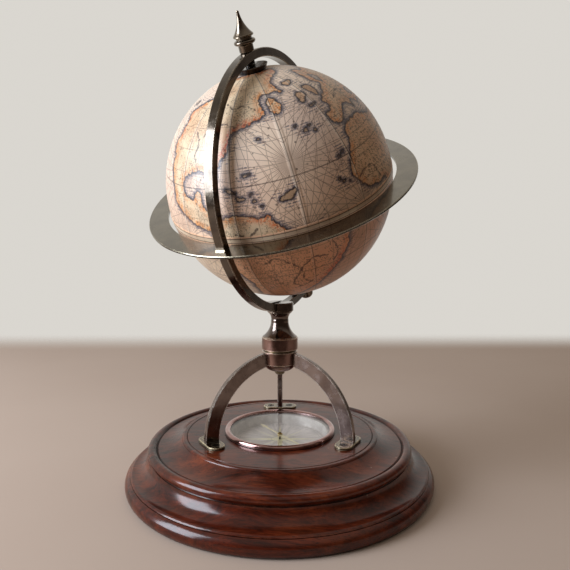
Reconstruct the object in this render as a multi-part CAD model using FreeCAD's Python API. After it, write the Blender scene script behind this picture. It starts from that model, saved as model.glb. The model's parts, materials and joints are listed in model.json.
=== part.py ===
"""Desk globe on a tripod over a compass, set in a turned wood base.

Millimetres, +Z up. The origin is the middle of the base's underside.
Three arched legs stand at 90, 210 and 330 degrees and carry a hub. A neck swivels on the hub and
holds the meridian ring. The globe turns on an axle across that ring, and a flat horizon ring
lies round its equator. Every piece that comes apart on a bench is a node of its own.
"""

import FreeCAD
import Part

import math
import os

# ---- driving dimensions -------------------------------------------------------------------------

GLOBE_R = 70.0
GLOBE_WALL = 2.5
POLE_HOLE_R = 5.0        # in each half shell, for its bush
TAPE_WIDTH = 4.6         # paper tape over the seam
TAPE_THICK = 0.25
GLOBE_Z = 189.0          # height of the globe's centre
AXIS_TILT = 30.0         # of the globe's axle from upright, degrees
LEAN_AZIMUTH = 243.5     # the north pole leans this way, degrees from +X

RING_OUTER_R = 80.0      # meridian ring
RING_DEPTH = 5.0         # in the radial direction
RING_THICK = 5.4
HORIZON_INNER_R = 72.5
HORIZON_OUTER_R = 85.0
HORIZON_THICK = 1.5
HORIZON_SHIFT = -1.2     # of the flat ring's middle from the globe's centre, along the axle
EDGE_BREAK = 0.35        # chamfer on the metal bars' long edges

AXLE_R = 1.4
RUNNING_GAP = 0.05       # radial clearance of a shaft in its bush
BODY_GAP = 0.3           # between faces of pieces that move past each other
CAP_FOOT_R = 8.2         # polar cap, where it meets the globe
CAP_R = 9.8              # at the cap's rim
CAP_RIM = 2.6            # height of the rim above the pole
CAP_RISE = 3.4           # height of the cap's boss above the pole
BOSS_R = 2.9

PLATEAU_Z = 30.0         # flat top of the base
PLATEAU_R = 63.0
FELT_R = 91.0
FELT_THICK = 1.6
FELT_PROUD = 0.6         # the felt stands this far below the wood

COMPASS_R = 33.0         # compass case, and its recess in the base
COMPASS_DEPTH = 13.0
CASE_WALL = 1.0
DIAL_Z = 24.0            # top of the dial card
CARD_THICK = 0.6
GLASS_Z = 30.0
GLASS_THICK = 1.6
GLASS_R = 32.9
BEZEL_R = 35.8
BEZEL_LIP_R = 32.3
BEZEL_TOP_Z = 32.9
NEEDLE_Z = 27.0
NEEDLE_HALF = 24.0
NEEDLE_THICK = 0.4
NEEDLE_AZIMUTH = 124.0   # where the needle's north end points at rest

LEG_AZIMUTHS = {"back": 90.0, "left": 210.0, "right": 330.0}
LEG_OUTER_R = 52.0       # of the leg's arch
LEG_DEPTH = 8.8
LEG_THICK = 3.5
LEG_CENTRE_R = 0.5       # the arch's centre, out from the stand's axis
FOOT_R = 48.1            # the foot plate's centre, out from the stand's axis
FOOT_LENGTH = 24.0
FOOT_WIDTH = 11.0
FOOT_THICK = 1.6
FOOT_SCREW_X = 6.6       # from the foot's centre to each screw
SCREW_R = 1.5
SCREW_HEAD_R = 2.6
SCREW_LENGTH = 11.0
SLOT_WIDTH = 0.7
SLOT_DEPTH = 0.7

HUB_R = 11.2
HUB_LOW_Z = 75.1         # foot of the hub's straight wall
HUB_TOP_Z = 83.3
DOME_Z = 70.0            # foot of the hub's dome
WASHER_THICK = 0.4
COLLAR_R = 11.6
COLLAR_TOP_Z = 92.3
NECK_WAIST_R = 5.7
HEAD_R = 8.8
HEAD_TOP_Z = 114.6
STUD_R = 2.0
STUD_TOP_Z = 99.0
NUT_R = 3.2
NUT_LOW_Z = 67.6
RING_SCREW_R = 1.1
RING_SCREW_HEAD_R = 1.8
RING_SCREW_LOW_Z = 103.5

RING_INNER_R = RING_OUTER_R - RING_DEPTH
RING_FOOT_Z = GLOBE_Z - RING_OUTER_R
FOOT_TOP_Z = PLATEAU_Z + FOOT_THICK
COLLAR_LOW_Z = HUB_TOP_Z + WASHER_THICK + BODY_GAP

Z_AXIS = FreeCAD.Vector(0, 0, 1)


# ---- helpers ------------------------------------------------------------------------------------

def vec(x, y, z):
    return FreeCAD.Vector(x, y, z)


def section(steps):
    """Closed wire in the XZ plane. A step is (r, z), or (r, z, mid_r, mid_z) for an arc that ends there."""
    edges = []
    here = steps[0][:2]
    for step in steps[1:] + [steps[0][:2]]:
        there = step[:2]
        start, end = vec(here[0], 0, here[1]), vec(there[0], 0, there[1])
        if len(step) == 4:
            edges.append(Part.Arc(start, vec(step[2], 0, step[3]), end).toShape())
        elif (end - start).Length > 1e-6:
            edges.append(Part.LineSegment(start, end).toShape())
        here = there
    return Part.Wire(edges)


def turned(steps):
    """Solid of revolution about Z."""
    return Part.Face(section(steps)).revolve(vec(0, 0, 0), Z_AXIS, 360)


def tube(outer, inner, low, high):
    return turned([(inner, low), (outer, low), (outer, high), (inner, high)])


def rod(radius, low, high):
    return Part.makeCylinder(radius, high - low, vec(0, 0, low))


def on_sphere(radius, r):
    """Height above the centre of a sphere's surface, at distance r from the axis."""
    return math.sqrt(radius * radius - r * r)


def arc_step(start, end, sag):
    """An arc step to end, bulging by sag to the left of the way from start to end."""
    dx, dz = end[0] - start[0], end[1] - start[1]
    length = math.hypot(dx, dz)
    mid = ((start[0] + end[0]) / 2 - dz / length * sag, (start[1] + end[1]) / 2 + dx / length * sag)
    return (end[0], end[1], mid[0], mid[1])


def lifted(step, height):
    """The same outline step, raised along Z."""
    return tuple(value + height * (index % 2) for index, value in enumerate(step))


def about_z(shape, degrees):
    turned_shape = shape.copy()
    turned_shape.rotate(vec(0, 0, 0), Z_AXIS, degrees)
    return turned_shape


def upside_down(shape):
    flipped = shape.copy()
    flipped.rotate(vec(0, 0, 0), vec(1, 0, 0), 180)
    return flipped


def globe_frame():
    """Placement of the globe's own frame: Z is the axle, and the meridian ring lies in the XZ plane."""
    azimuth = math.radians(LEAN_AZIMUTH)
    hinge_line = vec(-math.sin(azimuth), math.cos(azimuth), 0)
    turn = FreeCAD.Rotation(hinge_line, AXIS_TILT).multiply(FreeCAD.Rotation(Z_AXIS, LEAN_AZIMUTH))
    return FreeCAD.Placement(vec(0, 0, GLOBE_Z), turn)


def in_globe_frame(shape):
    placed = shape.copy()
    placed.transformShape(globe_frame().toMatrix())
    return placed


def slotted_screw(head_r, shaft_r, length):
    """Countersunk screw. Its head's face is at z = 0 and it points down."""
    cone = head_r - shaft_r
    body = turned([(0, 0), (head_r, 0), (shaft_r, -cone), (shaft_r, shaft_r - length), (0, -length)])
    slot = Part.makeBox(3 * head_r, SLOT_WIDTH, SLOT_DEPTH, vec(-1.5 * head_r, -SLOT_WIDTH / 2, -SLOT_DEPTH))
    return body.cut(slot)


# ---- base ---------------------------------------------------------------------------------------

def base_profile():
    """The turned outline from the middle of the underside out and up to the middle of the top."""
    groove_r, groove_half, groove_deep = 59.8, 0.45, 0.5
    border_edge = (PLATEAU_R, PLATEAU_Z - 1.3)
    cove_foot = (77.7, 24.4)
    bead_r, bead_centre = 2.9, (81.4, 22.7)
    bead_low = (bead_centre[0] + bead_r * math.cos(math.radians(-62)),
                bead_centre[1] + bead_r * math.sin(math.radians(-62)))
    bead_high = (bead_centre[0] + bead_r * math.cos(math.radians(132)),
                 bead_centre[1] + bead_r * math.sin(math.radians(132)))
    lower_cove_top, lower_cove_foot = (82.9, 19.3), (93.7, 10.9)
    lip_r, lip_low_z = 95.0, 9.8
    foot_r, foot_z = 97.0, FELT_PROUD
    return [
        (0, foot_z),
        (foot_r, foot_z),
        arc_step((foot_r, foot_z), (95.3, lip_low_z - 0.3), -2.2),
        (lip_r - 0.5, lip_low_z - 0.3),
        (lip_r - 0.5, lip_low_z),
        (lip_r, lip_low_z),
        arc_step((lip_r, lip_low_z), lower_cove_foot, -0.25),
        arc_step(lower_cove_foot, lower_cove_top, 3.0),
        (lower_cove_top[0] - 0.5, lower_cove_top[1]),
        (bead_low[0] - 0.6, bead_low[1] - 0.1),
        bead_low,
        (bead_high[0], bead_high[1], bead_centre[0] + bead_r * math.cos(math.radians(35)),
         bead_centre[1] + bead_r * math.sin(math.radians(35))),
        (cove_foot[0] + 0.9, cove_foot[1] - 0.8),
        cove_foot,
        arc_step(cove_foot, border_edge, 1.15),
        arc_step(border_edge, (PLATEAU_R - 1.3, PLATEAU_Z), -0.35),
        (groove_r + groove_half, PLATEAU_Z),
        (groove_r, PLATEAU_Z - groove_deep),
        (groove_r - groove_half, PLATEAU_Z),
        (0, PLATEAU_Z),
    ]


def foot_screw_spots():
    """(x, y) of the six foot screws."""
    spots = []
    for azimuth in LEG_AZIMUTHS.values():
        a = math.radians(azimuth)
        for side in (-1, 1):
            spots.append((FOOT_R * math.cos(a) - side * FOOT_SCREW_X * math.sin(a),
                          FOOT_R * math.sin(a) + side * FOOT_SCREW_X * math.cos(a)))
    return spots


def foot_screws():
    """The six screws, slots turned at different angles as they were driven home."""
    screws = []
    for index, (x, y) in enumerate(foot_screw_spots()):
        screw = about_z(slotted_screw(SCREW_HEAD_R, SCREW_R, SCREW_LENGTH), 25 + 50 * index)
        screw.translate(vec(x, y, FOOT_TOP_Z))
        screws.append(screw)
    return screws


def wood_base():
    base = turned(base_profile())
    base = base.cut(rod(FELT_R, 0, FELT_THICK))
    base = base.cut(rod(COMPASS_R, PLATEAU_Z - COMPASS_DEPTH, PLATEAU_Z + 1))
    for x, y in foot_screw_spots():
        base = base.cut(Part.makeCylinder(SCREW_R, SCREW_LENGTH, vec(x, y, FOOT_TOP_Z - SCREW_LENGTH)))
    return base


def felt_pad():
    return rod(FELT_R, 0, FELT_THICK)


# ---- compass ------------------------------------------------------------------------------------

def compass_case():
    low = PLATEAU_Z - COMPASS_DEPTH
    cup = rod(COMPASS_R, low, PLATEAU_Z)
    return cup.cut(rod(COMPASS_R - CASE_WALL, low + CASE_WALL, PLATEAU_Z + 1))


def dial_support():
    """Turned spacer that holds the dial card up in the case."""
    low = PLATEAU_Z - COMPASS_DEPTH + CASE_WALL
    return tube(COMPASS_R - CASE_WALL, COMPASS_R - 6, low, DIAL_Z - CARD_THICK)


def compass_dial():
    return tube(COMPASS_R - CASE_WALL, 0.6, DIAL_Z - CARD_THICK, DIAL_Z)


def compass_pivot():
    """Pin that carries the needle, riveted through the case's floor."""
    low = PLATEAU_Z - COMPASS_DEPTH + CASE_WALL
    point_z = NEEDLE_Z - 0.25
    return turned([(0, low), (2.2, low), (2.2, low + 1.2), (0.6, low + 1.8),
                   (0.6, point_z - 1.6), (0, point_z)])


def spacer_ring():
    """Ring between the dial card and the glass."""
    outer = COMPASS_R - CASE_WALL
    return turned([(outer, DIAL_Z), (outer, GLASS_Z), (outer - 1.2, GLASS_Z), (outer - 1.8, DIAL_Z)])


def compass_glass():
    edge = 0.2
    top = GLASS_Z + GLASS_THICK
    return turned([(0, GLASS_Z), (GLASS_R - edge, GLASS_Z), (GLASS_R, GLASS_Z + edge),
                   (GLASS_R, top - edge), (GLASS_R - edge, top), (0, top)])


def compass_bezel():
    """Rolled ring over the glass, with a bead round its rim."""
    glass_top = GLASS_Z + GLASS_THICK
    rim = (BEZEL_R, PLATEAU_Z + 1.2)
    crown = (34.3, BEZEL_TOP_Z)
    lip = (BEZEL_LIP_R, glass_top + 0.35)
    return turned([(GLASS_R, PLATEAU_Z), (BEZEL_R - 0.3, PLATEAU_Z), (BEZEL_R, PLATEAU_Z + 0.3), rim,
                   arc_step(rim, crown, -0.4), arc_step(crown, lip, -0.25),
                   (BEZEL_LIP_R, glass_top), (GLASS_R, glass_top)])


def compass_needle():
    """Slim arrow: a pointed north end with a barb, and a plain south end."""
    barb_half, barb_root, barb_tip = 1.7, NEEDLE_HALF - 7.0, NEEDLE_HALF
    waist, eye_r = 0.45, 1.6
    outline = [(barb_tip, 0), (barb_root, barb_half), (barb_root + 1.2, waist), (2.4, waist), (0, eye_r + 0.5),
               (-2.4, 0.9), (-NEEDLE_HALF + 1.5, waist), (-NEEDLE_HALF, 0)]
    mirrored = [(x, -y) for x, y in reversed(outline[1:-1])]
    points = [vec(x, y, NEEDLE_Z) for x, y in outline + mirrored]
    blade = Part.Face(Part.makePolygon(points + points[:1])).extrude(vec(0, 0, NEEDLE_THICK))
    return about_z(blade.cut(rod(eye_r, NEEDLE_Z - 1, NEEDLE_Z + 1)), NEEDLE_AZIMUTH)


def needle_cap():
    """Brass cap on the needle, hollow below for the pivot's point."""
    top = NEEDLE_Z + 1.7
    return turned([(0.35, NEEDLE_Z - 0.7), (1.6, NEEDLE_Z - 0.7), (1.6, NEEDLE_Z + 0.7), (0.7, top - 0.15),
                   (0, top), (0, NEEDLE_Z + 0.2)])


# ---- stand --------------------------------------------------------------------------------------

def leg(azimuth):
    """Flat bar bent to an arch, from the foot plate up to the hub's wall."""
    inner_r = LEG_OUTER_R - LEG_DEPTH
    slant = math.sqrt(0.5)
    outline = section([
        (LEG_CENTRE_R + inner_r, FOOT_TOP_Z),
        (LEG_CENTRE_R + LEG_OUTER_R, FOOT_TOP_Z),
        (LEG_CENTRE_R, FOOT_TOP_Z + LEG_OUTER_R,
         LEG_CENTRE_R + LEG_OUTER_R * slant, FOOT_TOP_Z + LEG_OUTER_R * slant),
        (LEG_CENTRE_R, FOOT_TOP_Z + inner_r),
        (LEG_CENTRE_R + inner_r, FOOT_TOP_Z,
         LEG_CENTRE_R + inner_r * slant, FOOT_TOP_Z + inner_r * slant),
    ])
    bar = Part.Face(outline).extrude(vec(0, LEG_THICK, 0))
    bar.translate(vec(0, -LEG_THICK / 2, 0))
    long_edges = [e for e in bar.Edges if isinstance(e.Curve, Part.Circle)]
    bar = bar.makeChamfer(EDGE_BREAK, long_edges)
    return about_z(bar.cut(rod(HUB_R, DOME_Z - 2, HUB_TOP_Z + 5)), azimuth)


def foot_plate(azimuth):
    """Plate with round ends, brazed under the leg, with two countersunk holes."""
    end_r = FOOT_WIDTH / 2
    half = FOOT_LENGTH / 2 - end_r
    plate = Part.makeBox(FOOT_WIDTH, 2 * half, FOOT_THICK, vec(FOOT_R - end_r, -half, PLATEAU_Z))
    for side in (-1, 1):
        plate = plate.fuse(Part.makeCylinder(end_r, FOOT_THICK, vec(FOOT_R, side * half, PLATEAU_Z)))
    plate = plate.removeSplitter()
    rim = [e for e in plate.Edges if all(v.Z > FOOT_TOP_Z - 0.01 for v in e.Vertexes)]
    plate = plate.makeChamfer(0.4, rim)
    for side in (-1, 1):
        hole = rod(SCREW_R, -FOOT_THICK - 1, 0).fuse(Part.makeCone(
            SCREW_R, SCREW_HEAD_R, SCREW_HEAD_R - SCREW_R, vec(0, 0, SCREW_R - SCREW_HEAD_R)))
        hole.translate(vec(FOOT_R, side * FOOT_SCREW_X, FOOT_TOP_Z))
        plate = plate.cut(hole)
    return about_z(plate, azimuth)


def leg_hub():
    bore = STUD_R + RUNNING_GAP
    shoulder = 0.4
    dome_foot = (3.9, DOME_Z)
    return turned([(bore, DOME_Z), dome_foot, arc_step(dome_foot, (HUB_R - 0.3, HUB_LOW_Z - 0.3), -1.2),
                   (HUB_R, HUB_LOW_Z), (HUB_R, HUB_TOP_Z - shoulder), (HUB_R - shoulder, HUB_TOP_Z), (bore, HUB_TOP_Z)])


def swivel_washer():
    return tube(HUB_R - 1.2, STUD_R + RUNNING_GAP, HUB_TOP_Z, HUB_TOP_Z + WASHER_THICK)


def swivel_collar():
    edge = 0.5
    return turned([(STUD_R, COLLAR_LOW_Z), (COLLAR_R - edge, COLLAR_LOW_Z), (COLLAR_R, COLLAR_LOW_Z + edge),
                   (COLLAR_R, COLLAR_TOP_Z - edge), (COLLAR_R - edge, COLLAR_TOP_Z), (STUD_R, COLLAR_TOP_Z)])


def neck():
    """Waisted column. Its round head is slotted for the meridian ring."""
    flare = (11.0, COLLAR_TOP_Z + 0.4)
    waist_low, waist_high = (NECK_WAIST_R, 101.6), (NECK_WAIST_R, 103.0)
    throat, head_z = (7.9, 108.2), 108.6
    body = turned([
        (0, COLLAR_TOP_Z), (flare[0], COLLAR_TOP_Z), flare,
        arc_step(flare, waist_low, 1.15),
        waist_high,
        arc_step(waist_high, throat, 0.9),
        (throat[0], head_z), (HEAD_R - 0.7, head_z), (HEAD_R, head_z + 0.7),
        (HEAD_R, HEAD_TOP_Z - 0.4), (HEAD_R - 0.4, HEAD_TOP_Z), (0, HEAD_TOP_Z),
    ])
    seat = Part.makeCylinder(RING_OUTER_R, RING_THICK, vec(0, -RING_THICK / 2, GLOBE_Z), vec(0, 1, 0))
    body = body.cut(about_z(seat, LEAN_AZIMUTH))
    body = body.cut(rod(STUD_R, COLLAR_TOP_Z - 1, STUD_TOP_Z))
    return body.cut(rod(RING_SCREW_R, RING_SCREW_LOW_Z, HEAD_TOP_Z))


def centre_stud():
    return rod(STUD_R, NUT_LOW_Z + 0.8, STUD_TOP_Z)


def stud_nut():
    top = DOME_Z - BODY_GAP
    nut = turned([(0, NUT_LOW_Z), (1.6, NUT_LOW_Z), arc_step((1.6, NUT_LOW_Z), (NUT_R, NUT_LOW_Z + 1.0), -0.3),
                  (NUT_R, top), (0, top)])
    return nut.cut(centre_stud())


# ---- rings and axle, in the globe's own frame -------------------------------------------------------

def meridian_ring():
    """Closed band about Y, drilled for the axle at both poles and for the neck's screw at its foot."""
    half, edge = RING_THICK / 2, EDGE_BREAK
    band = turned([(RING_INNER_R, half - edge), (RING_INNER_R, edge - half), (RING_INNER_R + edge, -half),
                   (RING_OUTER_R - edge, -half), (RING_OUTER_R, edge - half), (RING_OUTER_R, half - edge),
                   (RING_OUTER_R - edge, half), (RING_INNER_R + edge, half)])
    band.rotate(vec(0, 0, 0), vec(1, 0, 0), 90)
    band = band.cut(rod(AXLE_R, -RING_OUTER_R - 1, RING_OUTER_R + 1))
    ring = in_globe_frame(band)
    return ring.cut(ring_screw_space())


def horizon_ring():
    """Flat ring, slotted from its inner edge for the meridian ring."""
    half, edge = HORIZON_THICK / 2, EDGE_BREAK
    flat = turned([(HORIZON_INNER_R, -half), (HORIZON_OUTER_R - edge, -half), (HORIZON_OUTER_R, edge - half),
                   (HORIZON_OUTER_R, half - edge), (HORIZON_OUTER_R - edge, half), (HORIZON_INNER_R, half)])
    slot = Part.makeBox(2 * RING_OUTER_R, RING_THICK, 2 * HORIZON_THICK,
                        vec(-RING_OUTER_R, -RING_THICK / 2, -HORIZON_THICK))
    ring = flat.cut(slot)
    ring.translate(vec(0, 0, HORIZON_SHIFT))
    return in_globe_frame(ring)


def solder_fillets():
    """Run of solder across the outside of the meridian ring, above and below each crossing."""
    half, size = HORIZON_THICK / 2, 1.1
    fillets = []
    for side_x in (-1, 1):
        for side_z in (-1, 1):
            x, z = side_x * RING_OUTER_R, HORIZON_SHIFT + side_z * half
            corners = [vec(x, -RING_THICK / 2, z), vec(x + side_x * size, -RING_THICK / 2, z),
                       vec(x, -RING_THICK / 2, z + side_z * size)]
            wedge = Part.Face(Part.makePolygon(corners + corners[:1])).extrude(vec(0, RING_THICK, 0))
            fillets.append(in_globe_frame(wedge))
    return fillets


def axle():
    return in_globe_frame(rod(AXLE_R, -RING_OUTER_R - 3.6, RING_OUTER_R + 6.5))


def finial():
    """Turned spire that screws onto the axle's north end."""
    stem = [(AXLE_R, 0), (3.9, 0), (4.2, 0.4), (4.2, 3.7), (5.5, 4.3)]
    disc_edge, disc_top, neck_foot = (6.1, 5.3), (5.4, 6.4), (4.5, 6.7)
    bell = [(4.4, 7.5), (5.5, 8.0), (5.8, 8.4), (5.7, 8.9)]
    spire_top, tip_height = (1.0, 18.4), 21.2
    steps = stem + [(disc_top[0], disc_top[1], disc_edge[0], disc_edge[1]), neck_foot] + bell
    steps.append(arc_step(bell[-1], spire_top, 0.8))
    steps += [(0.8, tip_height - 1.2), (0.85, tip_height - 0.7), (0.55, tip_height - 0.15), (0, tip_height)]
    outline = [lifted(step, RING_OUTER_R) for step in steps]
    bore_top = RING_OUTER_R + 6.6
    return in_globe_frame(turned(outline + [(0, bore_top), (AXLE_R, bore_top)]))


def south_nut():
    """Domed nut on the axle's south end."""
    foot = RING_OUTER_R
    dome_foot, dome_top = (4.8, foot + 3.4), (1.6, foot + 6.6)
    bore_top = foot + 3.7
    nut = turned([(AXLE_R, foot), (4.5, foot), (4.8, foot + 0.3), dome_foot,
                  arc_step(dome_foot, dome_top, -0.9), (0, foot + 6.7), (0, bore_top), (AXLE_R, bore_top)])
    return in_globe_frame(upside_down(nut))


def thrust_washer(north):
    """Spacer on the axle between the ring and the globe's cap."""
    low = GLOBE_R + CAP_RISE + BODY_GAP
    washer = tube(BOSS_R, AXLE_R, low, RING_INNER_R - 0.1)
    return in_globe_frame(washer if north else upside_down(washer))


def ring_screw_space():
    """What the neck's screw fills in the ring: its shaft and its countersunk head."""
    head_deep = RING_SCREW_HEAD_R - RING_SCREW_R
    top = GLOBE_Z - RING_INNER_R
    space = rod(RING_SCREW_R, RING_FOOT_Z - 1, top + 1)
    cone = Part.makeCone(RING_SCREW_R, RING_SCREW_HEAD_R, head_deep, vec(0, 0, top - head_deep))
    return space.fuse([cone, rod(RING_SCREW_HEAD_R, top, top + 1)])


def ring_screw():
    """Screw down through the meridian ring into the neck's head."""
    top = GLOBE_Z - RING_INNER_R
    screw = slotted_screw(RING_SCREW_HEAD_R, RING_SCREW_R, top - RING_SCREW_LOW_Z)
    screw.translate(vec(0, 0, top))
    return about_z(screw, 40)


# ---- globe, in its own frame --------------------------------------------------------------------

def hemisphere(north):
    """Half shell with a hole for its bush."""
    hole_r = POLE_HOLE_R
    inner = GLOBE_R - GLOBE_WALL
    slant = math.sqrt(0.5)
    shell = turned([
        (inner, 0), (GLOBE_R, 0),
        (hole_r, on_sphere(GLOBE_R, hole_r), GLOBE_R * slant, GLOBE_R * slant),
        (hole_r, on_sphere(inner, hole_r)),
        (inner, 0, inner * slant, inner * slant),
    ])
    return in_globe_frame(shell if north else upside_down(shell))


def equator_hoop():
    """Hoop glued inside the shells where they meet."""
    outer, half = GLOBE_R - GLOBE_WALL - RUNNING_GAP, 6.0
    edge_r = on_sphere(outer, half)
    return in_globe_frame(turned([(edge_r - 1.6, -half), (edge_r, -half), (edge_r, half, outer, 0),
                                  (edge_r - 1.6, half)]))


def equator_tape():
    """Paper tape over the seam, outside."""
    half = TAPE_WIDTH / 2
    low_r = on_sphere(GLOBE_R, half)
    return in_globe_frame(turned([(low_r, -half), (low_r + TAPE_THICK, -half),
                                  (low_r + TAPE_THICK, half, GLOBE_R + TAPE_THICK, 0),
                                  (low_r, half), (low_r, -half, GLOBE_R, 0)]))


def polar_bush(north):
    """Flanged bush in the shell's hole, running on the axle."""
    flange_r, flange_low, top = 8.0, 64.5, 69.6
    inner = GLOBE_R - GLOBE_WALL
    mid_r = (flange_r + POLE_HOLE_R) / 2
    bush = turned([
        (AXLE_R + RUNNING_GAP, flange_low), (flange_r, flange_low), (flange_r, on_sphere(inner, flange_r)),
        (POLE_HOLE_R, on_sphere(inner, POLE_HOLE_R), mid_r, on_sphere(inner, mid_r)),
        (POLE_HOLE_R, top), (AXLE_R + RUNNING_GAP, top),
    ])
    return in_globe_frame(bush if north else upside_down(bush))


def polar_cap(north):
    """Flaring turned cup glued over the pole, hollowed below to sit on the globe."""
    bore = AXLE_R + RUNNING_GAP
    rim, top = GLOBE_R + CAP_RIM, GLOBE_R + CAP_RISE
    foot_z, mid_r = on_sphere(GLOBE_R, CAP_FOOT_R), CAP_FOOT_R * 0.6
    cap = turned([
        (CAP_FOOT_R, foot_z), (CAP_R - 0.2, rim - 0.5), (CAP_R, rim - 0.3), (CAP_R - 0.3, rim), (BOSS_R, rim),
        (BOSS_R, top - 0.2), (BOSS_R - 0.2, top), (bore, top), (bore, on_sphere(GLOBE_R, bore)),
        (CAP_FOOT_R, foot_z, mid_r, on_sphere(GLOBE_R, mid_r)),
    ])
    return in_globe_frame(cap if north else upside_down(cap))


# ---- build --------------------------------------------------------------------------------------

def all_nodes():
    nodes = {
        "wood_base": wood_base(),
        "felt_pad": felt_pad(),
        "foot_screws": foot_screws(),
        "compass_case": compass_case(),
        "dial_support": dial_support(),
        "compass_dial": compass_dial(),
        "compass_pivot": compass_pivot(),
        "spacer_ring": spacer_ring(),
        "compass_glass": compass_glass(),
        "compass_bezel": compass_bezel(),
        "compass_needle": compass_needle(),
        "needle_cap": needle_cap(),
        "leg_hub": leg_hub(),
        "swivel_washer": swivel_washer(),
        "swivel_collar": swivel_collar(),
        "neck": neck(),
        "centre_stud": centre_stud(),
        "stud_nut": stud_nut(),
        "meridian_ring": meridian_ring(),
        "horizon_ring": horizon_ring(),
        "solder_fillets": solder_fillets(),
        "ring_screw": ring_screw(),
        "axle": axle(),
        "finial": finial(),
        "south_nut": south_nut(),
        "equator_hoop": equator_hoop(),
        "equator_tape": equator_tape(),
    }
    for name, azimuth in LEG_AZIMUTHS.items():
        nodes["leg_" + name] = leg(azimuth)
        nodes["foot_plate_" + name] = foot_plate(azimuth)
    for pole, north in (("north", True), ("south", False)):
        nodes[pole + "_hemisphere"] = hemisphere(north)
        nodes[pole + "_bush"] = polar_bush(north)
        nodes[pole + "_cap"] = polar_cap(north)
        nodes[pole + "_washer"] = thrust_washer(north)
    return nodes


def main():
    os.makedirs("parts", exist_ok=True)
    for name, shape in sorted(all_nodes().items()):
        if isinstance(shape, list):
            shape = Part.makeCompound(shape)
        print(name, "solids", len(shape.Solids), "volume %.1f" % shape.Volume, "valid", shape.isValid())
        shape.exportStep("parts/" + name + ".step")


main()
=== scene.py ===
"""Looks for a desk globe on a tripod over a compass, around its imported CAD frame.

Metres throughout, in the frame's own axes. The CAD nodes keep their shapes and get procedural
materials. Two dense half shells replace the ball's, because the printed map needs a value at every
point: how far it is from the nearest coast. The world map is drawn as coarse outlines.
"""

import json
import math
import random

import bpy
import numpy as np
from mathutils import Euler, Matrix, Vector
from mathutils.kdtree import KDTree


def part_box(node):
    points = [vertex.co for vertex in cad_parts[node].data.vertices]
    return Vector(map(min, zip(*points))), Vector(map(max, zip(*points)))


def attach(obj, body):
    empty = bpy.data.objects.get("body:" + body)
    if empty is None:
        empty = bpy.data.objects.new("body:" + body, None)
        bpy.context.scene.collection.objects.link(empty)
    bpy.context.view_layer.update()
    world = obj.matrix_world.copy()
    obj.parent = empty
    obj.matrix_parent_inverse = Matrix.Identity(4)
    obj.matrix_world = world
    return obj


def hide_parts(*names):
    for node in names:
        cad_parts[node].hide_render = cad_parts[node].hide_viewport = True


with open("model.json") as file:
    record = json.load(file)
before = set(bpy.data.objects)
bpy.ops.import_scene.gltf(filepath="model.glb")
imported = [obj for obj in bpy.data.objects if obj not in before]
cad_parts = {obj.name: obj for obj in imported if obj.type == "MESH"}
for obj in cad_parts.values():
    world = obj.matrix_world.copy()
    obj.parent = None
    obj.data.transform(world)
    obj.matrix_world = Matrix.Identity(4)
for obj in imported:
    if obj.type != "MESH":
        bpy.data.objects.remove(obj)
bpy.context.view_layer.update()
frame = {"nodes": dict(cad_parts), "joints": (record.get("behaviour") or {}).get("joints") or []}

MM = 0.001

# ---- the globe's own frame: Z is the axle, and the meridian ring lies in the XZ plane ------------

SPIN = next(joint for joint in frame["joints"] if joint["name"] == "globe_spin")
AXLE = Vector(SPIN["axis"]).normalized()
GLOBE_CENTRE = Vector(SPIN["pos_m"])
LEAN = Vector((AXLE.x, AXLE.y, 0)).normalized()
GLOBE_X = (LEAN - LEAN.dot(AXLE) * AXLE).normalized()
GLOBE_TURN = Matrix((GLOBE_X, AXLE.cross(GLOBE_X), AXLE)).transposed()

SHELL_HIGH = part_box("north_hemisphere")[1]
GLOBE_R = SHELL_HIGH.z - GLOBE_CENTRE.z
GLOBE_WALL = 2.5 * MM
POLE_HOLE_R = 5 * MM

# ---- the map ------------------------------------------------------------------------------------

MAP_TURN = 76            # the map's zero meridian lies this far round from the globe's X
GORE = 30                # the map is printed on gores this wide, in degrees
GORE_START = 6           # the first seam, degrees round from the globe's X
MAP_COLUMNS = 480
MAP_ROWS = 118
INNER_ROWS = 12
RAGGED = 0.55            # how far coasts wander from the outlines, degrees
COAST_STEP = 0.5         # spacing of the points along a finished coast, degrees
MAP_SEED = 1541          # for the coasts' small bends
ISLAND_POINTS = 9
ROSE_LATITUDES = (29, -29)
ROSE_SPOKES = 32
TROPIC = 23.5            # latitude of the two heavier parallels

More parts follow.
